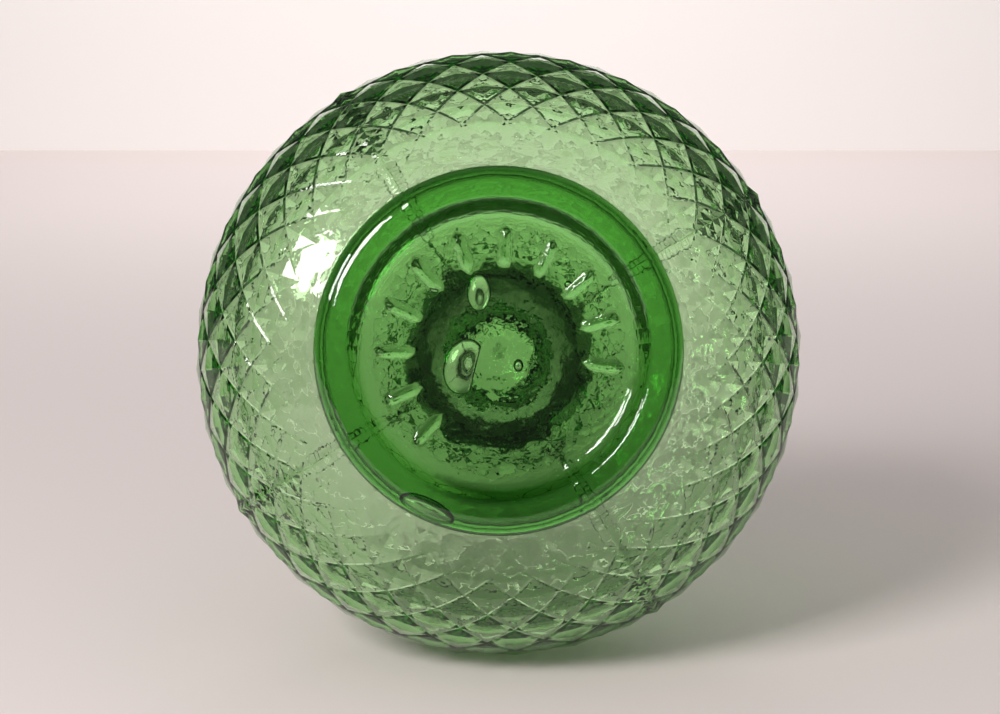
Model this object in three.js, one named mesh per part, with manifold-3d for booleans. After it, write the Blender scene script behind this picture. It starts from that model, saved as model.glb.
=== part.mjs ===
// A green glass decanter, blown in a four-part mould: a squat round body with a diamond-point surface on a
// heavy foot ring, a plain tapering neck with a lip, and a hollow blown glass stopper in a soft clear sleeve.
//
// Millimetres, +Z up. The origin is the centre of the flat ring that the decanter stands on.
import * as THREE from "three";
import { mergeVertices } from "three/addons/utils/BufferGeometryUtils.js";
import Module from "manifold-3d";

const wasm = await Module();
wasm.setup();

// ---- driving dimensions -------------------------------------------------------------------------------

// Foot and base
const footRadius = 54; // outside of the foot ring
const footHeight = 12.5; // from the table to where the body leaves the foot
const footEdge = 4; // rounding of the foot's outer bottom edge
const standWidth = 5; // width of the flat ring that rests on the table
const recessSlope = 6.5; // how far the hollow's rounded wall runs inwards from that ring
const recessDepth = 5.5; // height of the hollow under the base at its wall
const pushUp = 3; // further rise of the base at its middle
const baseThickness = 6; // glass between the hollow's middle and the floor inside

// Body
const bodyRadius = 94.2; // at the groove crossings on the widest row
const equatorHeight = 68;
const shoulderFullness = 46; // how far the body's side runs straight up before it turns in
const wall = 3.2;

// Neck and mouth
const neckRootRadius = 34;
const neckRootHeight = 162;
const rootFlare = 12; // the root's slope, as a run outwards for ...
const rootDrop = 44; // ... this drop
const boreRadius = 19.5; // the straight bore that takes the stopper's sleeve
const boreDepth = 46;
const neckWall = 3.6;
const bottleHeight = 280;
const lipOverhang = 4.2;
const lipHeight = 9;

// Diamond points
const diamonds = 32; // round the body, eight to each quarter of the mould
const diamondStretch = 1.08; // a diamond's height over its width
const relief = 1.4; // a point's height over the grooves on the widest row
const smoothBand = 17; // plain glass between the foot and the first row, measured along the surface
const plainRoot = 6; // plain glass between the last row and the neck's root

// Facets of the plain insides
const roundSides = 40;
const cavitySteps = 18;

// Stopper and its sleeve
const fitGap = 0.3; // between pieces that touch
const sleeveWall = 1.6;
const sleeveLength = 30;
const sleeveFlange = 2.4; // how far the sleeve's rim reaches over the lip
const plugLength = 34;
const plugTaper = 0.9; // the plug is this much thinner in radius at its end
const plugWall = 2.2;
const collarOverhang = 5.7; // the collar covers the sleeve's rim
const collarThickness = 4;
const collarEdge = 1; // taken off the collar's top and bottom corners
const waistRadius = 17.5;
const waistHeight = 7;
const finialRadius = 27;
const finialBelly = 28; // height of the finial's widest row over the waist
const finialHeight = 66;
const capRadius = 16; // the finial ends in a low plain dome
const capHeight = 8;
const finialWall = 2.6;
const hollowSteps = 9;
const finialDiamonds = 16;
const finialRelief = 0.8;
const finialPlain = 6; // plain glass at the finial's foot and under its cap, measured along the surface

// ---- shared helpers -----------------------------------------------------------------------------------

const point = (radius, height) => new THREE.Vector2(radius, height);

// A profile, given as radius and height from bottom to top of its outside, turned about +Z.
function turned(profile, sides) {
  return new THREE.LatheGeometry(profile, sides).rotateX(Math.PI / 2);
}

// Raises every second point of the rows first to last into a low pyramid, steepness of its row's radius high.
// Each quad of the lathe is split along the groove that joins its two flat corners, so the grooves cross in
// diamonds.
function cutDiamonds(geometry, profile, first, last, steepness) {
  const rows = profile.length;
  const turns = geometry.attributes.position.count / rows - 1;
  const position = geometry.attributes.position;
  const normal = geometry.attributes.normal;
  const isPoint = (turn, row) => (turn + row - first) % 2 === 1;
  for (let turn = 0; turn <= turns; turn++) {
    for (let row = first + 1; row < last; row++) {
      if (!isPoint(turn, row)) continue;
      const i = turn * rows + row;
      const height = steepness * profile[row].x;
      position.setXYZ(
        i,
        position.getX(i) + height * normal.getX(i),
        position.getY(i) + height * normal.getY(i),
        position.getZ(i) + height * normal.getZ(i),
      );
    }
  }
  const index = [];
  for (let turn = 0; turn < turns; turn++) {
    for (let row = 0; row < rows - 1; row++) {
      const a = turn * rows + row;
      const b = a + rows;
      const c = b + 1;
      const d = a + 1;
      const inPattern = row >= first && row < last;
      if (inPattern && !isPoint(turn, row)) index.push(a, b, c, c, d, a);
      else index.push(a, b, d, c, d, b);
    }
  }
  return geometry.setIndex(index);
}

// Walks up a curve from one length to another in steps that keep each diamond in proportion to its row.
function diamondRows(curve, from, to, count) {
  const total = curve.getLength();
  const rows = [];
  let along = from;
  while (along <= to) {
    const at = curve.getPointAt(along / total);
    rows.push(at);
    along += (diamondStretch * Math.PI * at.x) / count;
  }
  return rows;
}

// The points of a profile moved inwards, across the profile's own direction.
function offsetInwards(curve, from, to, count, depthAt) {
  const total = curve.getLength();
  return Array.from({ length: count + 1 }, (_, i) => {
    const u = (from + ((to - from) * i) / count) / total;
    const at = curve.getPointAt(u);
    const along = curve.getTangentAt(u);
    const depth = depthAt(i / count);
    return point(at.x - along.y * depth, at.y + along.x * depth);
  });
}

function solid(geometry) {
  geometry.deleteAttribute("normal");
  geometry.deleteAttribute("uv");
  const merged = mergeVertices(geometry, 1e-3);
  const mesh = new wasm.Mesh({
    numProp: 3,
    vertProperties: new Float32Array(merged.attributes.position.array),
    triVerts: new Uint32Array(merged.index.array),
  });
  return new wasm.Manifold(mesh);
}

function geometryOf(manifold) {
  const mesh = manifold.getMesh();
  const geometry = new THREE.BufferGeometry();
  geometry.setAttribute("position", new THREE.BufferAttribute(mesh.vertProperties, 3));
  geometry.setIndex(new THREE.BufferAttribute(mesh.triVerts, 1));
  geometry.computeVertexNormals();
  return geometry;
}

// ---- decanter -----------------------------------------------------------------------------------------

const neckRadius = boreRadius + neckWall;
const neckTop = bottleHeight - lipHeight;
const bodySides = 2 * diamonds;

// The body's underside is part of an ellipse that meets the top of the foot and stands upright at the equator.
const footAngle = Math.acos(footRadius / bodyRadius);
const underside = new THREE.EllipseCurve(
  0,
  equatorHeight,
  bodyRadius,
  (equatorHeight - footHeight) / Math.sin(footAngle),
  -footAngle,
  0,
);
const shoulder = new THREE.CubicBezierCurve(
  point(bodyRadius, equatorHeight),
  point(bodyRadius, equatorHeight + shoulderFullness),
  point(neckRootRadius + rootFlare, neckRootHeight - rootDrop),
  point(neckRootRadius, neckRootHeight),
);
const neck = new THREE.CubicBezierCurve(
  point(neckRootRadius, neckRootHeight),
  point(neckRootRadius - rootFlare / 2, neckRootHeight + rootDrop / 2),
  point(neckRadius, (neckRootHeight + neckTop) / 2),
  point(neckRadius, neckTop),
);

const sideCurve = new THREE.CurvePath();
sideCurve.add(underside);
sideCurve.add(shoulder);
sideCurve.add(neck);
sideCurve.arcLengthDivisions = 400;
const rootLength = underside.getLength() + shoulder.getLength();
const sideLength = sideCurve.getLength();

// From the middle of the hollow under the base, out over the flat ring and up the foot's side.
const standOuter = footRadius - footEdge;
const standInner = standOuter - standWidth;
const recessRadius = standInner - recessSlope;

function footProfile() {
  const path = new THREE.Path();
  path.moveTo(0, recessDepth + pushUp);
  path.quadraticCurveTo(recessRadius / 2, recessDepth + pushUp, recessRadius, recessDepth);
  path.quadraticCurveTo(standInner - recessSlope / 3, recessDepth, standInner, 0);
  path.lineTo(standOuter, 0);
  path.absarc(standOuter, footEdge, footEdge, -Math.PI / 2, 0, false);
  return path.getPoints(3);
}

function lipProfile() {
  const path = new THREE.Path();
  const bead = lipHeight / 2;
  path.moveTo(neckRadius, neckTop);
  path.absellipse(neckRadius, neckTop + bead, lipOverhang, bead, -Math.PI / 2, Math.PI / 2, false);
  path.lineTo(0, bottleHeight);
  return path.getPoints(4).slice(1);
}

function outerDecanter() {
  const foot = footProfile();
  const band = [0, 1, 2].map((i) => sideCurve.getPointAt((smoothBand * i) / 3 / sideLength));
  const rows = diamondRows(sideCurve, smoothBand, rootLength - plainRoot, diamonds);
  const neckPoints = [0, 1, 2, 3, 4].map((i) => neck.getPoint(i / 4));
  const profile = [...foot, ...band, ...rows, ...neckPoints, ...lipProfile()];
  const first = foot.length + band.length;
  const geometry = turned(profile, bodySides);
  return solid(cutDiamonds(geometry, profile, first, first + rows.length - 1, relief / bodyRadius));
}

// The hollow inside: a slightly domed floor, the body's side less the wall, and the straight bore.
function cavity() {
  const floorMiddle = recessDepth + pushUp + baseThickness;
  const thickness = (t) => wall + (neckWall - wall) * t;
  const side = offsetInwards(sideCurve, smoothBand / 3, rootLength, cavitySteps, thickness);
  const heel = side[0];
  const profile = [
    point(0, floorMiddle),
    point(heel.x / 2, floorMiddle - pushUp / 3),
    ...side,
    point(boreRadius, bottleHeight - boreDepth),
    point(boreRadius, bottleHeight + lipHeight),
    point(0, bottleHeight + lipHeight),
  ];
  return solid(turned(profile, roundSides));
}

function decanter() {
  return geometryOf(outerDecanter().subtract(cavity()));
}

// ---- stopper ------------------------------------------------------------------------------------------

const sleeveRadius = boreRadius - fitGap;
const sleeveBore = sleeveRadius - sleeveWall;
const flangeBottom = bottleHeight + fitGap;
const flangeTop = flangeBottom + sleeveWall;
const plugRadius = sleeveBore - fitGap;
const collarBottom = flangeTop + fitGap;

function sleeve() {
  const profile = [
    point(sleeveBore, bottleHeight - sleeveLength),
    point(sleeveRadius, bottleHeight - sleeveLength),
    point(sleeveRadius, flangeBottom),
    point(sleeveRadius + sleeveFlange, flangeBottom),
    point(sleeveRadius + sleeveFlange, flangeTop),
    point(sleeveBore, flangeTop),
    point(sleeveBore, bottleHeight - sleeveLength),
  ];
  return turned(profile, roundSides);
}

// The finial swells from the waist to its belly and draws in to its cap.
const waistBottom = collarBottom + collarThickness;
const waistTop = waistBottom + waistHeight;
const finialTop = waistTop + finialHeight;
const finialPull = (finialRadius - waistRadius) / 4;
const lowerFinial = new THREE.CubicBezierCurve(
  point(waistRadius, waistTop),
  point(finialRadius - finialPull, waistTop),
  point(finialRadius, waistTop + finialBelly / 2),
  point(finialRadius, waistTop + finialBelly),
);
const upperFinial = new THREE.CubicBezierCurve(
  point(finialRadius, waistTop + finialBelly),
  point(finialRadius, finialTop - finialBelly / 2 - capHeight),
  point(capRadius, finialTop - finialBelly / 2),
  point(capRadius, finialTop - capHeight),
);

function stopper() {
  const finial = new THREE.CurvePath();
  finial.add(lowerFinial);
  finial.add(upperFinial);
  const rows = diamondRows(finial, finialPlain, finial.getLength() - finialPlain, finialDiamonds);
  const cap = new THREE.EllipseCurve(0, finialTop - capHeight, capRadius, capHeight, 0, Math.PI / 2);
  const waistBore = waistRadius - finialWall;
  const hollow = offsetInwards(finial, finialPlain, finial.getLength(), hollowSteps, () => finialWall).reverse();
  const plugEnd = bottleHeight - plugLength;
  const plugEndRadius = plugRadius - plugTaper;
  const collarRadius = plugRadius + collarOverhang;
  const inside = [
    point(0, finialTop - finialWall),
    ...hollow,
    point(waistBore, waistTop + finialWall),
    point(waistBore, waistBottom),
    point(plugRadius - plugWall, collarBottom - collarThickness),
    point(plugEndRadius - plugWall, plugEnd),
  ];
  const outside = [
    point(plugEndRadius, plugEnd),
    point(plugRadius, collarBottom),
    point(collarRadius - collarEdge, collarBottom),
    point(collarRadius, collarBottom + collarThickness / 2),
    point(collarRadius - collarEdge, waistBottom),
    point(waistRadius, waistBottom + collarEdge),
    point(waistRadius, waistTop),
  ];
  const profile = [...inside, ...outside, ...rows, ...cap.getPoints(4)];
  const first = inside.length + outside.length;
  const geometry = turned(profile, 2 * finialDiamonds);
  const steepness = finialRelief / finialRadius;
  return geometryOf(solid(cutDiamonds(geometry, profile, first, first + rows.length - 1, steepness)));
}

// ---- assembly -----------------------------------------------------------------------------------------

const greenGlass = new THREE.MeshStandardMaterial({
  name: "green_glass",
  color: 0x4f9a3c,
  roughness: 0.04,
  metalness: 0,
  transparent: true,
  opacity: 0.45,
});
const clearVinyl = new THREE.MeshStandardMaterial({
  name: "clear_vinyl",
  color: 0xe6e8dc,
  roughness: 0.35,
  metalness: 0,
  transparent: true,
  opacity: 0.6,
});

function part(name, geometry, material) {
  const mesh = new THREE.Mesh(geometry, material);
  mesh.name = name;
  return mesh;
}

const decanterSet = new THREE.Group();
decanterSet.add(part("decanter_body", decanter(), greenGlass));
decanterSet.add(part("stopper_sleeve", sleeve(), clearVinyl));
decanterSet.add(part("stopper", stopper(), greenGlass));

export default decanterSet;
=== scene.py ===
# A green glass decanter with its stopper, lying on a pale table with its foot towards the camera.
import math
import random

import bmesh
import bpy
import numpy as np
from mathutils import Matrix, Vector
from mathutils.geometry import interpolate_bezier


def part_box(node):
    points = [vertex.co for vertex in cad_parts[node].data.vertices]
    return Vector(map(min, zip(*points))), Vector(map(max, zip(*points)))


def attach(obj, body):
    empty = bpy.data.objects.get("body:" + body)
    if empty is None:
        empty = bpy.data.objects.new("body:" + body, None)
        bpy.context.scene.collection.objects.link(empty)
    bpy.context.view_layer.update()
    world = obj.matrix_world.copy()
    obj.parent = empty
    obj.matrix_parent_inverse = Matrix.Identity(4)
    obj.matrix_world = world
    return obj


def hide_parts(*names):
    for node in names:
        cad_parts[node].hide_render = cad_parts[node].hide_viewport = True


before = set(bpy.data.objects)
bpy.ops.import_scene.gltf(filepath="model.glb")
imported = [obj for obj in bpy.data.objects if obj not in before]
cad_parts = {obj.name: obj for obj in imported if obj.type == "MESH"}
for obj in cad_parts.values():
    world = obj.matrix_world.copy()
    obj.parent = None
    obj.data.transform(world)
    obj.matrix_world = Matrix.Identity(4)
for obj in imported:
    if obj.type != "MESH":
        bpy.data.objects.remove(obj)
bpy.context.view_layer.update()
scene = bpy.context.scene
mm = 0.001


def linear(hexColour):
    channels = [int(hexColour[i : i + 2], 16) / 255 for i in (1, 3, 5)]
    return tuple(c / 12.92 if c <= 0.04045 else ((c + 0.055) / 1.055) ** 2.4 for c in channels)


def addNode(tree, kind, inputs=(), **settings):
    node = tree.nodes.new(kind)
    for name, value in settings.items():
        setattr(node, name, value)
    for key, value in dict(inputs if isinstance(inputs, dict) else enumerate(inputs)).items():
        source = value.outputs[0] if isinstance(value, bpy.types.Node) else value
        if isinstance(source, bpy.types.NodeSocket):
            tree.links.new(source, node.inputs[key])
        else:
            node.inputs[key].default_value = source
    return node


def newMesh(name, points, edges=(), faces=()):
    mesh = bpy.data.meshes.new(name)
    mesh.from_pydata(points, edges, faces)
    made = bpy.data.objects.new(name, mesh)
    scene.collection.objects.link(made)
    return made


# The decanter lies on its side, so the table is a slope beside it here. It touches the body, and leaves
# room for the finial when the stopper is pulled out.
view = {
    "distance": 0.72,  # from the lens to the foot
    "lens": 89.75,
    "drop": 0.008,  # the lens is this much nearer the table than the decanter's axis
    "aim": (0.0004, 0.0019, 0),
    "turn": math.radians(-2.35),  # of the decanter about its own axis, as it lies
    "pull": 0.09,  # how far the stopper comes out
}
turned = Matrix.Rotation(view["turn"], 4, "Z")


def restingSlope():
    sides = []
    for name, out in (("decanter_body", 0), ("stopper", view["pull"])):
        points = [v.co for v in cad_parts[name].data.vertices]
        sides.append([(p.xy.length, p.z + out) for p in points])
    low, high = 0.0, math.radians(45)
    for _ in range(24):
        lean = (low + high) / 2
        body, finial = [max(r * math.cos(lean) + z * math.sin(lean) for r, z in side) for side in sides]
        low, high = (low, lean) if finial > body else (lean, high)
    return lean, body


lean, reach = restingSlope()
tableNormal = turned @ Vector((0, -math.cos(lean), -math.sin(lean)))
tableDepth = turned @ Vector((0, -math.sin(lean), math.cos(lean)))
tableAcross = turned @ Vector((1, 0, 0))

cameraData = bpy.data.cameras.new("camera")
cameraData.lens = view["lens"]
cameraData.sensor_width = 36
cameraData.clip_start = 0.02
camera = bpy.data.objects.new("camera", cameraData)
scene.collection.objects.link(camera)
eye = turned @ Vector((0, view["drop"], -view["distance"]))
towards = ((turned @ Vector(view["aim"])) - eye).normalized()
rightwards = towards.cross(turned @ Vector((0, -1, 0))).normalized()
upwards = rightwards.cross(towards)
facing = Matrix((rightwards, upwards, -towards)).transposed().to_4x4()
camera.matrix_world = Matrix.Translation(eye) @ facing
scene.camera = camera
print("camera placed, table leans", round(math.degrees(lean), 2))


# ---- materials
# Bottle-green soda-lime glass, mould blown and fire polished: clear, with a colour that deepens with
# thickness and a skin that is never quite even.
greenGlass = {
    "ior": 1.52,
    "roughness": 0.0,
    "through": "#75c160",  # what is left of white light after this depth of glass
    "depth": 10 * mm,
    "skinWave": 4 * mm,  # from crest to crest
    "skinHeight": 0.07 * mm,
    "headroom": 1.05,  # keeps every channel of the absorption colour above 0
}


def makeGreenGlass():
    g = greenGlass
    material = bpy.data.materials.new("fire_polished_green_glass")
    material.use_nodes = True
    tree = material.node_tree
    tree.nodes.clear()
    place = addNode(tree, "ShaderNodeTexCoord").outputs["Object"]
    wave = addNode(tree, "ShaderNodeTexNoise", {"Vector": place, "Scale": 1 / g["skinWave"], "Detail": 2.0})
    skin = addNode(tree, "ShaderNodeBump", {"Height": wave, "Distance": g["skinHeight"]})
    surface = addNode(
        tree,
        "ShaderNodeBsdfPrincipled",
        {
            "Base Color": (1, 1, 1, 1),
            "Roughness": g["roughness"],
            "IOR": g["ior"],
            "Transmission Weight": 1.0,
            "Normal": skin,
        },
    )
    lost = [-math.log(c) / g["depth"] for c in linear(g["through"])]
    density = max(lost) * g["headroom"]
    kept = [1 - part / density for part in lost]
    depth = addNode(tree, "ShaderNodeVolumeAbsorption", {"Color": (*kept, 1), "Density": density})
    addNode(tree, "ShaderNodeOutputMaterial", {"Surface": surface, "Volume": depth})
    return material


# ---- glass of revolution: a lattice of diamonds wrapped round a closed profile
def growBlownGlass():
    tree = bpy.data.node_groups.new("blownGlass", "GeometryNodeTree")
    face = tree.interface
    for name, kind in (
        ("Profile", "Geometry"),
        ("Diamonds", "Int"),
        ("Steps", "Int"),
        ("Rows", "Int"),
        ("First Row", "Float"),
        ("Last Row", "Float"),
        ("Facet Spread", "Float"),
        ("Fineness", "Int"),
        ("Groove", "Float"),
        ("Groove Depth", "Float"),
        ("Relief", "Float"),
        ("Flatness", "Float"),
        ("Start Angle", "Float"),
        ("Seams", "Int"),
        ("Seam Column", "Float"),
        ("Seam Height", "Float"),
        ("Seam Width", "Float"),
        ("Wave Scale", "Float"),
        ("Sharp Angle", "Float"),
        ("Marks", "Object"),
        ("Mark Height", "Float"),
        ("Mark Width", "Float"),
        ("Bubbles", "Object"),
        ("Glass", "Material"),
    ):
        face.new_socket(name, in_out="INPUT", socket_type="NodeSocket" + kind)
    face.new_socket("Geometry", in_out="OUTPUT", socket_type="NodeSocketGeometry")
    given = tree.nodes.new("NodeGroupInput").outputs
    calc = "ShaderNodeMath"
    vector = "ShaderNodeVectorMath"

    # one tile for each diamond: its middle stands on every second crossing of columns and rows
    index = addNode(tree, "GeometryNodeInputIndex")
    rowCount = addNode(tree, calc, [given["Rows"], 1.0], operation="ADD")
    tileCount = addNode(tree, calc, [rowCount, given["Diamonds"]], operation="MULTIPLY")
    middle = addNode(tree, calc, [index, 0.5], operation="ADD")
    rowShare = addNode(tree, calc, [middle, given["Diamonds"]], operation="DIVIDE")
    row = addNode(tree, calc, [rowShare], operation="FLOOR")
    before = addNode(tree, calc, [row, given["Diamonds"]], operation="MULTIPLY")
    column = addNode(tree, calc, [index, before], operation="SUBTRACT")
    odd = addNode(tree, calc, [row, 2.0], operation="MODULO")
    even = addNode(tree, calc, [1.0, odd], operation="SUBTRACT")
    across = addNode(tree, calc, [column, 2.0, even], operation="MULTIPLY_ADD")
    place = addNode(tree, "ShaderNodeCombineXYZ", [across, row])
    points = addNode(tree, "GeometryNodePoints", {"Count": tileCount, "Position": place})
    afterFirst = addNode(tree, calc, [row, given["First Row"]], operation="GREATER_THAN")
    beforeLast = addNode(tree, calc, [row, given["Last Row"]], operation="LESS_THAN")
    cut = addNode(tree, calc, [afterFirst, beforeLast], operation="MULTIPLY")
    points = addNode(
        tree,
        "GeometryNodeStoreNamedAttribute",
        {"Geometry": points, "Name": "cut", "Value": cut},
        domain="POINT",
    )
    sides = addNode(tree, calc, [given["Steps"], 1.0], operation="ADD")
    tile = addNode(tree, "GeometryNodeMeshGrid", {"Vertices X": sides, "Vertices Y": sides})

    # a tile's outermost cells are narrow, for the groove, and every cell is split along the facets' ridges
    corner = addNode(tree, "GeometryNodeInputPosition")
    corner = addNode(tree, vector, {0: corner, "Scale": given["Facet Spread"]}, operation="SCALE")
    corner = addNode(tree, vector, [corner, (0.5, 0.5, 0)], operation="MINIMUM")
    corner = addNode(tree, vector, [corner, (-0.5, -0.5, 0)], operation="MAXIMUM")
    distances = addNode(tree, vector, [corner], operation="ABSOLUTE")
    distances = addNode(tree, "ShaderNodeSeparateXYZ", [distances])
    rise = addNode(tree, calc, [distances.outputs["X"], distances.outputs["Y"]], operation="MAXIMUM")
    rise = addNode(tree, "ShaderNodeCombineXYZ", {"Z": rise})
    corner = addNode(tree, vector, [corner, rise], operation="ADD")
    tile = addNode(tree, "GeometryNodeSetPosition", {"Geometry": tile, "Position": corner})
    tile = addNode(tree, "GeometryNodeTriangulate", {"Mesh": tile}, quad_method="LONGEST_DIAGONAL")
    tile = addNode(tree, "GeometryNodeTransform", {"Geometry": tile, "Rotation": (0, 0, math.radians(45))})
    tile.inputs["Scale"].default_value = (math.sqrt(2), math.sqrt(2), 0)
    tiles = addNode(tree, "GeometryNodeInstanceOnPoints", {"Points": points, "Instance": tile})
    lattice = addNode(tree, "GeometryNodeRealizeInstances", [tiles])

    # a point of the lattice takes its radius and height from the profile's row, and its angle from the column
    at = addNode(tree, "ShaderNodeSeparateXYZ", [addNode(tree, "GeometryNodeInputPosition")])
    step = addNode(tree, calc, [at.outputs["Y"], given["Fineness"]], operation="MULTIPLY")
    step = addNode(tree, calc, [step], operation="ROUND")
    onProfile = {}
    for name, kind in (
        ("position", "FLOAT_VECTOR"),
        ("outward", "FLOAT_VECTOR"),
        ("wave", "FLOAT"),
        ("moulded", "FLOAT"),
        ("fullness", "FLOAT"),
    ):
        field = addNode(tree, "GeometryNodeInputNamedAttribute", [name], data_type=kind)
        onProfile[name] = addNode(
            tree,
            "GeometryNodeSampleIndex",
            {"Geometry": given["Profile"], "Value": field, "Index": step},
            data_type=kind,
            clamp=True,
        )
    pitch = addNode(tree, calc, [math.pi, given["Diamonds"]], operation="DIVIDE")
    angle = addNode(tree, calc, [at.outputs["X"], pitch, given["Start Angle"]], operation="MULTIPLY_ADD")
    base, outward = [
        addNode(
            tree,
            "ShaderNodeVectorRotate",
            {"Vector": onProfile[name], "Angle": angle},
            rotation_type="Z_AXIS",
        )
        for name in ("position", "outward")
    ]
    radius = addNode(tree, "ShaderNodeSeparateXYZ", [onProfile["position"]]).outputs["X"]

    # diamond points: four nearly flat faces that fall to a narrow, steeper groove
    rising = addNode(tree, calc, [at.outputs["X"], at.outputs["Y"]], operation="ADD")
    falling = addNode(tree, calc, [at.outputs["X"], at.outputs["Y"]], operation="SUBTRACT")
    fromRising = addNode(tree, calc, [rising, 1.0], operation="PINGPONG")
    fromFalling = addNode(tree, calc, [falling, 1.0], operation="PINGPONG")
    flank = addNode(tree, calc, [fromRising, fromFalling], operation="MINIMUM")
    relief = addNode(tree, calc, [flank, given["Relief"]], operation="MULTIPLY")
    groove = addNode(tree, calc, [flank, given["Groove"]], operation="DIVIDE", use_clamp=True)
    relief = addNode(tree, calc, [groove, given["Groove Depth"], relief], operation="MULTIPLY_ADD")
    fromMiddle = addNode(tree, "ShaderNodeCombineXYZ", [fromRising, fromFalling])
    fromMiddle = addNode(tree, vector, [(1, 1, 0), fromMiddle], operation="SUBTRACT")
    square = addNode(tree, vector, [fromMiddle, fromMiddle], operation="DOT_PRODUCT").outputs["Value"]
    farther = addNode(tree, calc, [1.0, flank], operation="SUBTRACT")
    swell = addNode(tree, calc, [square, -0.5, farther], operation="MULTIPLY_ADD")
    swell = addNode(tree, calc, [swell, given["Flatness"]], operation="MULTIPLY")
    relief = addNode(tree, calc, [relief, swell], operation="SUBTRACT")
    isCut = addNode(tree, "GeometryNodeInputNamedAttribute", ["cut"], data_type="FLOAT")
    relief = addNode(tree, calc, [relief, isCut], operation="MULTIPLY")
    relief = addNode(tree, calc, [relief, onProfile["fullness"]], operation="MULTIPLY")
    height = addNode(tree, calc, [relief, radius], operation="MULTIPLY")

    # mould seams: fine ridges up the outside
    perSeam = addNode(tree, calc, [given["Diamonds"], given["Seams"]], operation="DIVIDE")
    fromSeam = addNode(tree, calc, [at.outputs["X"], given["Seam Column"]], operation="SUBTRACT")
    fromSeam = addNode(tree, calc, [fromSeam, perSeam], operation="PINGPONG")
    columnWidth = addNode(tree, calc, [radius, pitch], operation="MULTIPLY")
    fromSeam = addNode(tree, calc, [fromSeam, columnWidth], operation="MULTIPLY")
    seam = addNode(
        tree,
        "ShaderNodeMapRange",
        [fromSeam, 0.0, given["Seam Width"], given["Seam Height"], 0.0],
        interpolation_type="SMOOTHSTEP",
    )
    height = addNode(tree, calc, [seam, onProfile["moulded"], height], operation="MULTIPLY_ADD")

    # waves left by blowing, most of all inside
    noise = addNode(
        tree,
        "ShaderNodeTexNoise",
        {"Vector": base, "Scale": given["Wave Scale"], "Detail": 2.0, "Roughness": 0.6},
    )
    wave = addNode(tree, calc, [noise, 0.5], operation="SUBTRACT")
    height = addNode(tree, calc, [wave, onProfile["wave"], height], operation="MULTIPLY_ADD")

    # raised marks, wherever the surface passes close to the lines of the marks object
    lines = addNode(tree, "GeometryNodeObjectInfo", [given["Marks"]]).outputs["Geometry"]
    near = addNode(
        tree,
        "GeometryNodeProximity",
        {"Geometry": lines, "Sample Position": base},
        target_element="EDGES",
    )
    mark = addNode(
        tree,
        "ShaderNodeMapRange",
        [near.outputs["Distance"], 0.0, given["Mark Width"], given["Mark Height"], 0.0],
        interpolation_type="SMOOTHSTEP",
    )
    mark = addNode(tree, calc, [mark, near.outputs["Is Valid"]], operation="MULTIPLY")
    height = addNode(tree, calc, [height, mark], operation="ADD")

    shift = addNode(tree, vector, {0: outward, "Scale": height}, operation="SCALE")
    place = addNode(tree, vector, [base, shift], operation="ADD")
    glass = addNode(tree, "GeometryNodeSetPosition", {"Geometry": lattice, "Position": place})
    glass = addNode(tree, "GeometryNodeMergeByDistance", {"Geometry": glass, "Distance": 2e-6})
    bubbles = addNode(tree, "GeometryNodeObjectInfo", [given["Bubbles"]]).outputs["Geometry"]
    joined = addNode(tree, "GeometryNodeJoinGeometry", [glass])
    tree.links.new(bubbles, joined.inputs[0])
    joined = addNode(tree, "GeometryNodeRealizeInstances", [joined])
    smooth = addNode(tree, "GeometryNodeSetShadeSmooth", {"Geometry": joined}, domain="FACE")
    fold = addNode(tree, "GeometryNodeInputMeshEdgeAngle")
    sharp = addNode(tree, calc, [fold, given["Sharp Angle"]], operation="GREATER_THAN")
    cutEdge = addNode(tree, calc, [isCut, 0.4], operation="GREATER_THAN")
    sharp = addNode(tree, calc, [sharp, cutEdge], operation="MULTIPLY")
    smooth = addNode(
        tree,
        "GeometryNodeSetShadeSmooth",
        {"Geometry": smooth, "Selection": sharp, "Shade Smooth": False},
        domain="EDGE",
    )
    clad = addNode(tree, "GeometryNodeSetMaterial", {"Geometry": smooth, "Material": given["Glass"]})
    addNode(tree, "NodeGroupOutput", [clad])
    return tree


def bend(start, startPull, endPull, end, count=160):
    corners = [Vector((*p, 0)) for p in (start, startPull, endPull, end)]
    return [tuple(p.xy) for p in interpolate_bezier(*corners, count)]


def arc(centre, radii, fromDegrees, toDegrees, count=60):
    turns = np.radians(np.linspace(fromDegrees, toDegrees, count))
    return [(centre[0] + radii[0] * math.cos(t), centre[1] + radii[1] * math.sin(t)) for t in turns]


def beside(line, distance):
    path = np.array(line)
    along = np.gradient(path, axis=0)
    along /= np.hypot(*along.T)[:, None]
    return np.c_[path[:, 0] - along[:, 1] * distance, path[:, 1] + along[:, 0] * distance]


def lengthAlong(line):
    return np.r_[0, np.cumsum(np.hypot(*np.diff(np.array(line), axis=0).T))]


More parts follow.
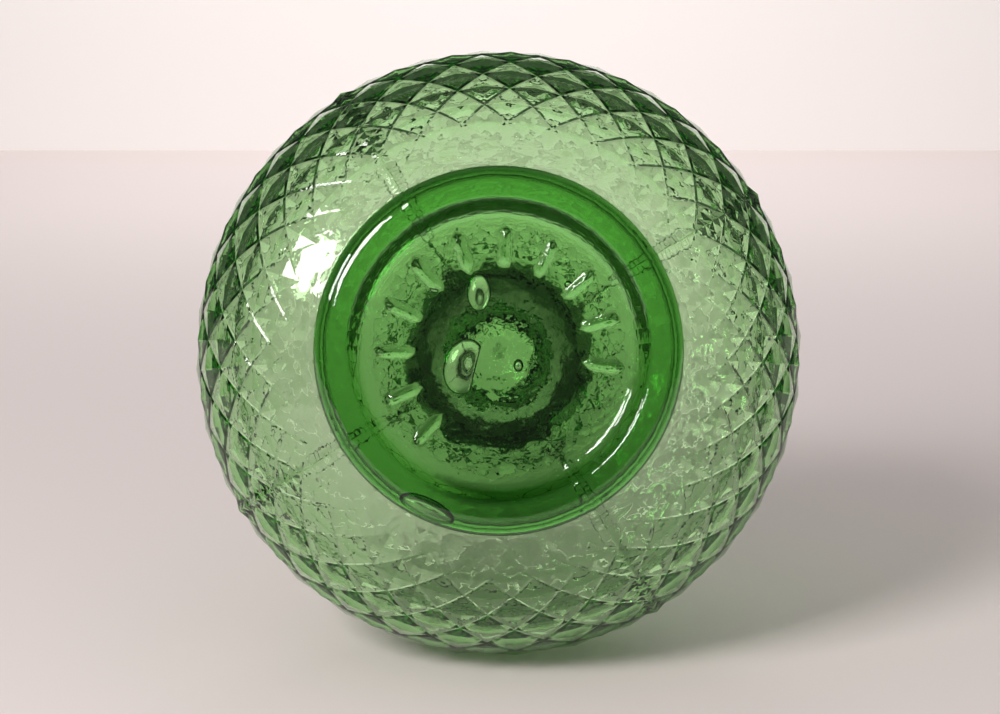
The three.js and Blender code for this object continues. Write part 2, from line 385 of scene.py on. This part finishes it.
# A profile is laid out in stretches: a line of points in mm, its rows, the height of its waves and, where
# the mould has touched the glass, a share of the seams' height. A row is half a diamond high, and a stretch
# with "diamonds" gets as many rows as keep the diamonds in proportion to their radius. With a "fade" they
# rise to a share of their full height, which changes from row to row.
def layProfile(name, stretches, fineness):
    radii, heights = [0.0], [stretches[0]["line"][0][1]]
    waves, moulded, fullness = [0.0], [0.0], [1.0]
    firstRows, rows = {}, 0
    for stretch in stretches:
        line = np.array(stretch["line"])
        share = lengthAlong(line)
        count = stretch.get("rows")
        if "diamonds" in stretch:
            middle = (line[1:, 0] + line[:-1, 0]) / 2
            share = np.r_[0, np.cumsum(np.diff(share) / middle)]
            count = round(share[-1] * stretch["diamonds"] / math.pi / stretch["stretch"])
        firstRows[stretch["name"]] = rows
        rows += count
        steps = np.linspace(0, share[-1], count * fineness + 1)[1:]
        radii.extend(np.interp(steps, share, line[:, 0]))
        heights.extend(np.interp(steps, share, line[:, 1]))
        waves.extend([stretch["wave"] * mm] * len(steps))
        moulded.extend([stretch.get("moulded", 0.0)] * len(steps))
        shareRows, shares = stretch.get("fade", ((0,), (1,)))
        fullness.extend(np.interp(np.arange(1, len(steps) + 1) / fineness, shareRows, shares))
    radii[-1] = 0.0
    path = np.c_[radii, heights]
    along = np.gradient(path, axis=0)
    along /= np.maximum(np.hypot(*along.T), 1e-9)[:, None]
    made = newMesh(name, [(r * mm, 0, z * mm) for r, z in path], [(i, i + 1) for i in range(len(path) - 1)])
    outward = made.data.attributes.new("outward", "FLOAT_VECTOR", "POINT")
    outward.data.foreach_set("vector", np.c_[along[:, 1], np.zeros(len(path)), -along[:, 0]].ravel())
    for attribute, values in (("wave", waves), ("moulded", moulded), ("fullness", fullness)):
        made.data.attributes.new(attribute, "FLOAT", "POINT").data.foreach_set("value", np.array(values))
    return made, rows, firstRows


def finishPiece(name, source, tree, values):
    modifier = source.modifiers.new("shape", "NODES")
    modifier.node_group = tree
    for item in tree.interface.items_tree:
        if item.in_out == "INPUT" and item.name in values:
            modifier[item.identifier] = values[item.name]
    bpy.context.view_layer.update()
    evaluated = source.evaluated_get(bpy.context.evaluated_depsgraph_get())
    mesh = bpy.data.meshes.new_from_object(evaluated)
    mesh.name = name
    piece = bpy.data.objects.new(name, mesh)
    scene.collection.objects.link(piece)
    bpy.data.objects.remove(source)
    print(name, sum(len(p.vertices) - 2 for p in mesh.polygons), "triangles")
    return piece


def latticeInputs(size, widest):
    halfDiamond = math.radians(180) / size["diamonds"]
    narrow = size["groove"]
    return {
        "Diamonds": size["diamonds"],
        "Steps": size["steps"],
        "Facet Spread": (1 - narrow) / (1 - 2 / size["steps"]),
        "Fineness": size["fineness"],
        "Groove": narrow,
        "Groove Depth": size["grooveDepth"] / widest,
        "Relief": size["relief"] / widest,
        "Flatness": size["flat"] * (1 - math.cos(halfDiamond)),
        "Start Angle": math.radians(-90),
        "Sharp Angle": math.radians(size["crease"]),
    }


# ---- decanter
decanter = {
    "footRadius": 54,
    "footHeight": 12.5,
    "footEdge": 6,
    "standInner": 45,
    "standFlare": 2,
    "recessRadius": 38.5,
    "recessFlare": 3,
    "recessDepth": 5.5,
    "pushUp": 3,
    "baseThickness": 7,
    "heelRadius": 44,
    "heelPull": 3,
    "bodyRadius": 94.2,
    "equator": 68,
    "fullness": 46,
    "wall": 1.6,  # at the equator; the neck gets thicker towards the bore
    "rootRadius": 34,
    "rootHeight": 162,
    "rootFlare": 12,
    "rootDrop": 44,
    "bore": 19.5,
    "boreDepth": 46,
    "neckWall": 3.6,
    "rootWall": 1.9,
    "lipHeight": 9,
    "lipOverhang": 4.2,
    "smoothBand": 9,
    "plainRoot": 6,
    "diamonds": 32,
    "stretch": 1.08,
    "relief": 1.0,
    "flat": 0.5,  # 1 would make the facets quite flat
    "groove": 0.14,  # a groove takes this share of the way up to a point
    "grooveDepth": 0.2,
    "crease": 4,  # folds over this many degrees stay crisp
    "fade": ((0, 3, 10, 16, 26), (0.4, 1, 1, 0.55, 0.4)),
    "steps": 6,
    "fineness": 90,
    "seams": 4,
    "seamColumn": 10.0,
    "seamHeight": 0.8,
    "seamWidth": 1.2,
    "waveScale": 170.0,  # about 6 mm from crest to crest
}


def undersideLine():
    d = decanter
    top = d["recessDepth"] + d["pushUp"]
    rim = (d["recessRadius"], d["recessDepth"])
    return bend((0, top), (d["recessRadius"] / 3, top), (d["recessRadius"] / 2, top), rim)


def makeDecanter(tree, glass):
    d = decanter
    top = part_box("decanter_body")[1].z / mm
    neckTop = top - d["lipHeight"]
    neckRadius = d["bore"] + d["neckWall"]
    standOuter = d["footRadius"] - d["footEdge"]
    footAngle = math.degrees(math.acos(d["footRadius"] / d["bodyRadius"]))
    semiHeight = (d["equator"] - d["footHeight"]) / math.sin(math.radians(footAngle))
    shoulder = bend(
        (d["bodyRadius"], d["equator"]),
        (d["bodyRadius"], d["equator"] + d["fullness"]),
        (d["rootRadius"] + d["rootFlare"], d["rootHeight"] - d["rootDrop"]),
        (d["rootRadius"], d["rootHeight"]),
    )
    belly = arc((0, d["equator"]), (d["bodyRadius"], semiHeight), -footAngle, 0)
    side = np.array(belly + shoulder[1:])
    neck = bend(
        (d["rootRadius"], d["rootHeight"]),
        (d["rootRadius"] - d["rootFlare"] / 2, d["rootHeight"] + d["rootDrop"] / 2),
        (neckRadius, (d["rootHeight"] + neckTop) / 2),
        (neckRadius, neckTop),
    )
    sideLength = lengthAlong(side)
    fromBand = int(np.searchsorted(sideLength, d["smoothBand"]))
    toRoot = int(np.searchsorted(sideLength, sideLength[-1] - d["plainRoot"]))
    heelStart = int(np.searchsorted(sideLength, d["smoothBand"] / 3))

    # the inside keeps a wall's thickness from the outside, up to the straight bore
    boreEnd = (d["bore"], top - d["boreDepth"])
    outer = np.array([*side[heelStart:], *[p for p in neck[1:] if p[1] < boreEnd[1]]])
    boreWall = outer[-1][0] - d["bore"]
    heights = (d["equator"], d["rootHeight"], boreEnd[1])
    walls = np.interp(outer[:, 1], heights, (d["wall"], d["rootWall"], boreWall))
    inner = beside(outer, walls)[::-1]
    underside = undersideLine()
    floor = [(r, z + d["baseThickness"]) for r, z in underside][::-1]
    heelPull = tuple(inner[-1] - (d["heelPull"], d["heelPull"]))
    heel = bend(tuple(inner[-1]), heelPull, (d["heelRadius"], floor[0][1]), floor[0], 40)

    hollow = bend(
        (d["recessRadius"], d["recessDepth"]),
        (d["recessRadius"] + d["recessFlare"], d["recessDepth"]),
        (d["standInner"] - d["standFlare"], 0),
        (d["standInner"], 0),
    )
    edge = arc((standOuter, d["footEdge"]), (d["footEdge"], d["footEdge"]), -90, 0)
    foot = hollow + edge + [(d["footRadius"], d["footHeight"])]
    halfLip = d["lipHeight"] / 2
    bead = arc((neckRadius, neckTop + halfLip), (d["lipOverhang"], halfLip), -90, 90, 40)
    stretches = [
        {"name": "underBase", "line": underside, "rows": 8, "wave": 0.1},
        {"name": "foot", "line": foot, "rows": 8, "wave": 0.04, "moulded": 0.3},
        {"name": "band", "line": side[: fromBand + 1], "rows": 3, "wave": 0.7, "moulded": 1.0},
        {
            "name": "diamonds",
            "line": side[fromBand : toRoot + 1],
            "diamonds": d["diamonds"],
            "stretch": d["stretch"],
            "fade": d["fade"],
            "wave": 0.16,
            "moulded": 1.0,
        },
        {"name": "root", "line": side[toRoot:], "rows": 1, "wave": 0.1, "moulded": 1.0},
        {"name": "neck", "line": neck, "rows": 4, "wave": 0.1, "moulded": 1.0},
        {"name": "lip", "line": bead + [(d["bore"], top)], "rows": 3, "wave": 0.02},
        {"name": "bore", "line": [(d["bore"], top), boreEnd], "rows": 1, "wave": 0.02},
        {"name": "inside", "line": [boreEnd, *inner], "rows": 12, "wave": 0.12},
        {"name": "heel", "line": heel, "rows": 2, "wave": 0.3},
        {"name": "floor", "line": floor, "rows": 6, "wave": 0.2},
    ]
    profile, rows, firstRow = layProfile("decanterProfile", stretches, d["fineness"])
    print("decanter rows", rows, firstRow)
    marks = makeMarks()
    bubbles = makeBubbles()
    values = {
        **latticeInputs(d, d["bodyRadius"]),
        "Rows": rows,
        "First Row": float(firstRow["diamonds"]),
        "Last Row": float(firstRow["root"]),
        "Seams": d["seams"],
        "Seam Column": d["seamColumn"],
        "Seam Height": d["seamHeight"] * mm,
        "Seam Width": d["seamWidth"] * mm,
        "Wave Scale": d["waveScale"],
        "Marks": marks,
        "Mark Height": baseMarks["height"] * mm,
        "Mark Width": baseMarks["halfWidth"] * mm,
        "Bubbles": bubbles,
        "Glass": glass,
    }
    piece = finishPiece("decanter_glass", profile, tree, values)
    bpy.data.objects.remove(marks)
    bpy.data.objects.remove(bubbles)
    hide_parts("decanter_body")
    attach(piece, "decanter")


# raised bars in a broken ring under the base
baseMarks = {
    "count": 11,
    "inner": 27,
    "outer": 34,
    "from": -228,  # degrees round the axis
    "to": 8,
    "height": 1.8,
    "halfWidth": 1.4,
}


def makeMarks():
    radii, heights = np.array(undersideLine()).T
    points, edges = [], []
    for turn in np.radians(np.linspace(baseMarks["from"], baseMarks["to"], baseMarks["count"])):
        across = turned @ Vector((math.cos(turn), math.sin(turn), 0))
        for r in (baseMarks["inner"], baseMarks["outer"]):
            raised = Vector((0, 0, float(np.interp(r, radii, heights))))
            points.append((across * r + raised) * mm)
        edges.append((len(points) - 2, len(points) - 1))
    return newMesh("baseMarks", points, edges)


# Bubbles caught in the thick glass of the base and the foot. Their faces point into the hollow.
bubbleSizes = {
    # middle, half sizes, turn in degrees, and where the side is cut flat, as a share of the half size
    "large": [
        ((-10.1, 4.6, 12.2), (6.2, 8.4, 1.5), 14, 0.55),
        ((5.8, 4.3, 11.5), (1.5, 1.9, 1.1), 0, 1),
        ((-5.8, -17.2, 11.8), (3.6, 5.6, 1.2), 0, 1),
        ((-20.6, 45.4, 3.4), (8.6, 2.8, 2.6), 25, 1),
        ((20.5, -19.6, 11.5), (1.2, 1.2, 0.9), 0, 1),
        ((-19.0, -18.0, 11), (1.4, 0.9, 0.8), 20, 1),
    ],
    "roundOver": 2,  # a bubble with a larger half size is made rounder
    "seeds": 60,
    "seedRadius": (0.12, 0.4),
    "seedLength": 1.3,
    "seedSpread": 40,
    "seedLowest": 8.6,
    "seedLayer": 4,
}


def addBubble(mesh, middle, half, degrees, flatSide, fineness):
    made = bmesh.ops.create_icosphere(mesh, subdivisions=fineness, radius=1)["verts"]
    turn = turned @ Matrix.Rotation(math.radians(degrees), 4, "Z")
    centre = turned @ Vector(middle)
    for vertex in made:
        x, y, z = vertex.co
        x = min(x, flatSide)
        vertex.co = (centre + turn @ Vector((x * half[0], y * half[1], z * half[2]))) * mm


def makeBubbles():
    b = bubbleSizes
    mesh = bmesh.new()
    for middle, half, degrees, flatSide in b["large"]:
        addBubble(mesh, middle, half, degrees, flatSide, 4 if half[1] > b["roundOver"] else 3)
    chance = random.Random(4)
    for _ in range(b["seeds"]):
        turn, out = chance.uniform(0, math.tau), b["seedSpread"] * math.sqrt(chance.random())
        size = chance.uniform(*b["seedRadius"])
        height = b["seedLowest"] + chance.uniform(0, b["seedLayer"])
        place = (out * math.cos(turn), out * math.sin(turn), height)
        addBubble(mesh, place, (size, size * b["seedLength"], size), chance.uniform(0, 180), 1, 1)
    bmesh.ops.reverse_faces(mesh, faces=mesh.faces)
    data = bpy.data.meshes.new("bubbles")
    mesh.to_mesh(data)
    mesh.free()
    made = bpy.data.objects.new("bubbles", data)
    scene.collection.objects.link(made)
    return made


# ---- stopper
stopper = {
    "plugWall": 1.7,
    "plugTaper": 0.9,
    "rimHeight": 0.85,
    "throatDrop": 4,
    "collarOverhang": 5.7,
    "collarThickness": 4,
    "collarEdge": 1.5,
    "waist": 17.5,
    "waistHeight": 7,
    "waistFlare": 2,
    "finialRadius": 27,
    "belly": 28,
    "finialHeight": 66,
    "capRadius": 16,
    "capHeight": 8,
    "wall": 2.0,
    "plain": 6,
    "diamonds": 16,
    "stretch": 1.08,
    "relief": 0.6,
    "flat": 0.5,
    "groove": 0.09,
    "grooveDepth": 0.15,
    "crease": 6,
    "steps": 6,
    "fineness": 90,
    "waveScale": 130.0,  # about 8 mm from crest to crest
}
sleeve = {
    "gap": 0.3,
    "wall": 1.6,
    "length": 30,
    "flange": 2.4,
    "edge": 0.5,
    "chamfer": 0.3,
    "ribs": 4,
    "ribHeight": 0.22,
    "ribHalfWidth": 0.8,
    "ribFoot": 1.2,
    "steps": 96,  # round the axis
    "crease": 50,
}


def makeStopper(tree, glass):
    s = stopper
    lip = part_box("decanter_body")[1].z / mm
    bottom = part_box("stopper")[0].z / mm
    plug = decanter["bore"] - sleeve["wall"] - 2 * sleeve["gap"]
    plugEnd = plug - s["plugTaper"]
    plugBore = plug - s["plugWall"]
    endBore = plugEnd - s["plugWall"]
    collar = plug + s["collarOverhang"] - s["collarEdge"]
    collarBottom = lip + sleeve["wall"] + 2 * sleeve["gap"]
    waistBottom = collarBottom + s["collarThickness"]
    waistTop = waistBottom + s["waistHeight"]
    waistBore = s["waist"] - s["wall"]
    top = waistTop + s["finialHeight"]

    pull = (s["finialRadius"] - s["waist"]) / 4
    lower = bend(
        (s["waist"], waistTop),
        (s["finialRadius"] - pull, waistTop),
        (s["finialRadius"], waistTop + s["belly"] / 2),
        (s["finialRadius"], waistTop + s["belly"]),
    )
    upper = bend(
        (s["finialRadius"], waistTop + s["belly"]),
        (s["finialRadius"], top - s["belly"] / 2 - s["capHeight"]),
        (s["capRadius"], top - s["belly"] / 2),
        (s["capRadius"], top - s["capHeight"]),
    )
    finial = np.array(lower + upper[1:])
    cap = arc((0, top - s["capHeight"]), (s["capRadius"], s["capHeight"]), 0, 90)
    finialLength = lengthAlong(finial)
    fromPlain = int(np.searchsorted(finialLength, s["plain"]))
    toPlain = int(np.searchsorted(finialLength, finialLength[-1] - s["plain"]))

    # the inside, from the cap down to the open end of the plug
    hollow = beside(np.array([*finial[fromPlain:], *cap[1:]]), s["wall"])[::-1]
    hollow[0][0] = 0
    neckIn = bend(
        tuple(hollow[-1]), (waistBore, waistTop + 2), (waistBore, waistTop + 1), (waistBore, waistTop), 20
    )
    throat = bend(
        (waistBore, waistTop),
        (waistBore, collarBottom),
        (plugBore, collarBottom),
        (plugBore, collarBottom - s["throatDrop"]),
        20,
    )
    inside = [*hollow, *neckIn[1:], *throat[1:], (endBore, bottom + 1)]

    # the outside, from the end of the plug up to the waist
    halfRim, halfCollar = s["plugWall"] / 2, s["collarThickness"] / 2
    rim = arc((plugEnd - halfRim, bottom + s["rimHeight"]), (halfRim, s["rimHeight"]), -180, 0, 20)
    waist = bend(
        (collar, waistBottom),
        (s["waist"] + s["waistFlare"], waistBottom),
        (s["waist"], waistBottom + 1),
        (s["waist"], waistTop - s["waistFlare"]),
        30,
    )
    shank = [
        *rim,
        (plug, collarBottom),
        (collar, collarBottom),
        *arc((collar, collarBottom + halfCollar), (s["collarEdge"], halfCollar), -90, 90, 30),
        *waist[1:],
        (s["waist"], waistTop),
    ]
    stretches = [
        {"name": "inside", "line": inside, "rows": 7, "wave": 0.15},
        {"name": "shank", "line": shank, "rows": 8, "wave": 0.04},
        {"name": "foot", "line": finial[: fromPlain + 1], "rows": 1, "wave": 0.03},
        {
            "name": "diamonds",
            "line": finial[fromPlain : toPlain + 1],
            "diamonds": s["diamonds"],
            "stretch": s["stretch"],
            "wave": 0.03,
        },
        {"name": "cap", "line": [*finial[toPlain:], *cap[1:]], "rows": 4, "wave": 0.02},
    ]
    profile, rows, firstRow = layProfile("stopperProfile", stretches, s["fineness"])
    print("stopper rows", rows, firstRow)
    values = {
        **latticeInputs(s, s["finialRadius"]),
        "Rows": rows,
        "First Row": float(firstRow["diamonds"]),
        "Last Row": float(firstRow["cap"]),
        "Seams": 1,
        "Seam Column": 0.0,
        "Seam Height": 0.0,
        "Seam Width": 1 * mm,
        "Wave Scale": s["waveScale"],
        "Glass": glass,
    }
    piece = finishPiece("stopper_glass", profile, tree, values)
    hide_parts("stopper")
    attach(piece, "stopper")


# ---- sleeve
# Natural soft vinyl, injection moulded: milky clear with a dull skin.
softVinyl = {
    "colour": "#e6eadb",
    "ior": 1.53,
    "clearness": 0.85,
    "grain": 900.0,  # about 1 mm from crest to crest, coarser than the real grain so that it shows
    "grainHeight": 0.02 * mm,
    "dullness": (0.22, 0.38),
}


def makeVinyl():
    v = softVinyl
    material = bpy.data.materials.new("moulded_natural_vinyl")
    material.use_nodes = True
    tree = material.node_tree
    tree.nodes.clear()
    place = addNode(tree, "ShaderNodeTexCoord").outputs["Object"]
    grain = addNode(tree, "ShaderNodeTexNoise", {"Vector": place, "Scale": v["grain"], "Detail": 3.0})
    dull = addNode(tree, "ShaderNodeMapRange", [grain, 0.3, 0.7, *v["dullness"]])
    skin = addNode(tree, "ShaderNodeBump", {"Height": grain, "Distance": v["grainHeight"]})
    vinyl = addNode(
        tree,
        "ShaderNodeBsdfPrincipled",
        {
            "Base Color": (*linear(v["colour"]), 1),
            "Roughness": dull,
            "IOR": v["ior"],
            "Transmission Weight": v["clearness"],
            "Normal": skin,
        },
    )
    addNode(tree, "ShaderNodeOutputMaterial", {"Surface": vinyl})
    return material


def makeSleeve(vinyl):
    s = sleeve
    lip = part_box("decanter_body")[1].z / mm
    outer = decanter["bore"] - s["gap"]
    inner = outer - s["wall"]
    bottom = lip - s["length"]
    flangeBottom = lip + s["gap"]
    flangeTop = flangeBottom + s["wall"]
    halfWall, edge = s["wall"] / 2, s["edge"]
    spacing = s["length"] / (s["ribs"] + 1)
    section = [(inner + s["chamfer"], bottom), (outer - s["chamfer"], bottom)]
    for rib in range(1, s["ribs"] + 1):
        middle = bottom + rib * spacing
        section.append((outer, middle - s["ribFoot"]))
        section += arc((outer, middle), (s["ribHeight"], s["ribHalfWidth"]), -90, 90, 7)
        section.append((outer, middle + s["ribFoot"]))
    section.append((outer, flangeBottom))
    section += arc((outer + s["flange"] - edge, flangeBottom + halfWall), (edge, halfWall), -90, 90, 9)
    section += arc((inner + edge, flangeTop - edge), (edge, edge), 90, 180, 5)
    mesh = bmesh.new()
    ring = [mesh.verts.new((r * mm, 0, z * mm)) for r, z in section]
    edges = [mesh.edges.new(pair) for pair in zip(ring, ring[1:] + ring[:1])]
    bmesh.ops.spin(
        mesh,
        geom=ring + edges,
        angle=math.tau,
        steps=s["steps"],
        axis=(0, 0, 1),
        cent=(0, 0, 0),
        use_merge=True,
    )
    bmesh.ops.remove_doubles(mesh, verts=mesh.verts, dist=1e-6)
    bmesh.ops.recalc_face_normals(mesh, faces=mesh.faces)
    data = bpy.data.meshes.new("sleeve_vinyl")
    mesh.to_mesh(data)
    mesh.free()
    data.shade_smooth()
    data.set_sharp_from_angle(angle=math.radians(s["crease"]))
    data.materials.append(vinyl)
    piece = bpy.data.objects.new("sleeve_vinyl", data)
    scene.collection.objects.link(piece)
    print("sleeve_vinyl", len(data.polygons), "faces")
    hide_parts("stopper_sleeve")
    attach(piece, "sleeve")


# ---- stage and light
stage = {
    "wall": 1.58,
    "near": -0.9,
    "halfWidth": 0.8,
    "tall": 0.5,
    "gap": 0.4 * mm,
    "paper": "#e9dedc",
    "board": "#fbf6f4",
}


# Uncoated paper and board: quite matt. From behind they are clear, so that they hide nothing.
def makePaper(name, colour):
    paper = bpy.data.materials.new(name)
    paper.use_nodes = True
    tree = paper.node_tree
    tree.nodes.clear()
    matt = addNode(tree, "ShaderNodeBsdfDiffuse", {"Color": (*linear(colour), 1)})
    clear = addNode(tree, "ShaderNodeBsdfTransparent")
    side = addNode(tree, "ShaderNodeNewGeometry").outputs["Backfacing"]
    seen = addNode(tree, "ShaderNodeMixShader", [side, matt, clear])
    addNode(tree, "ShaderNodeOutputMaterial", {"Surface": seen})
    return paper


def makeStage():
    below = -tableNormal * (reach + stage["gap"])
    fold = below + tableDepth * stage["wall"]
    corners = [below + tableDepth * stage["near"], fold, fold + tableNormal * stage["tall"]]
    points = [p + tableAcross * side * stage["halfWidth"] for p in corners for side in (-1, 1)]
    sweep = newMesh("paper", points, faces=[(0, 2, 3, 1), (2, 4, 5, 3)])
    sweep.data.materials.append(makePaper("matt_table_paper", stage["paper"]))
    sweep.data.materials.append(makePaper("matt_white_board", stage["board"]))
    sweep.data.polygons[1].material_index = 1
    if sweep.data.polygons[0].normal.dot(tableNormal) < 0:
        sweep.data.flip_normals()


lights = {
    "softbox": {
        "from": (-0.82, -0.40, -0.41),
        "distance": 1.6,
        "size": 0.4,
        "power": 9,
        "colour": "#fffdfb",
    },
    "frontLamp": {
        "from": (-0.5, -0.36, -0.79),
        "distance": 1.4,
        "size": 0.45,
        "power": 16,
        "colour": "#fffdfb",
    },
}
wallLamp = {
    "height": 0.9,
    "before": 0.4,
    "aim": 0.1,
    "size": 0.6,
    "power": 5,
    "colour": "#ffffff",
}


def addLamp(name, place, middle, light):
    data = bpy.data.lights.new(name, "AREA")
    data.size = light["size"]
    data.energy = light["power"]
    data.color = linear(light["colour"])
    lamp = bpy.data.objects.new(name, data)
    scene.collection.objects.link(lamp)
    aim = (middle - place).to_track_quat("-Z", "Y")
    lamp.matrix_world = Matrix.Translation(place) @ aim.to_matrix().to_4x4()
    return lamp


def makeLights():
    middle = Vector((0, 0, 0.1))
    for name, light in lights.items():
        place = middle + (turned @ Vector(light["from"])).normalized() * light["distance"]
        lamp = addLamp(name, place, middle, light)
        lamp.visible_diffuse = name != "softbox"  # the softbox only makes the highlights
    # the board at the back has a lamp of its own, which stays out of the reflections
    fold = tableDepth * stage["wall"] - tableNormal * reach
    place = fold + tableNormal * wallLamp["height"] - tableDepth * wallLamp["before"]
    lamp = addLamp("wallLamp", place, fold + tableNormal * wallLamp["aim"], wallLamp)
    lamp.visible_glossy = lamp.visible_transmission = lamp.visible_camera = False


room = {"pale": 0.43, "dim": 0.1, "colour": "#f5f3f2"}


def makeRoom():
    world = bpy.data.worlds.new("room")
    world.use_nodes = True
    tree = world.node_tree
    tree.nodes.clear()
    # pale where it is seen and where it lights the paper, and a dim room in the glass
    ray = addNode(tree, "ShaderNodeLightPath").outputs
    plain = addNode(tree, "ShaderNodeMath", [ray["Is Camera Ray"], ray["Diffuse Depth"]], use_clamp=True)
    colour = (*linear(room["colour"]), 1)
    dim = addNode(tree, "ShaderNodeBackground", {"Color": colour, "Strength": room["dim"]})
    pale = addNode(tree, "ShaderNodeBackground", {"Color": colour, "Strength": room["pale"]})
    both = addNode(tree, "ShaderNodeMixShader", [plain, dim, pale])
    addNode(tree, "ShaderNodeOutputWorld", {"Surface": both})
    scene.world = world


glass = makeGreenGlass()
blownGlass = growBlownGlass()
makeDecanter(blownGlass, glass)
makeStopper(blownGlass, glass)
makeSleeve(makeVinyl())
makeStage()
makeLights()
makeRoom()
print("stage and lights made")

scene.view_settings.view_transform = "Standard"
scene.cycles.max_bounces = 24
scene.cycles.transmission_bounces = 24
scene.cycles.glossy_bounces = 12
scene.cycles.transparent_max_bounces = 16
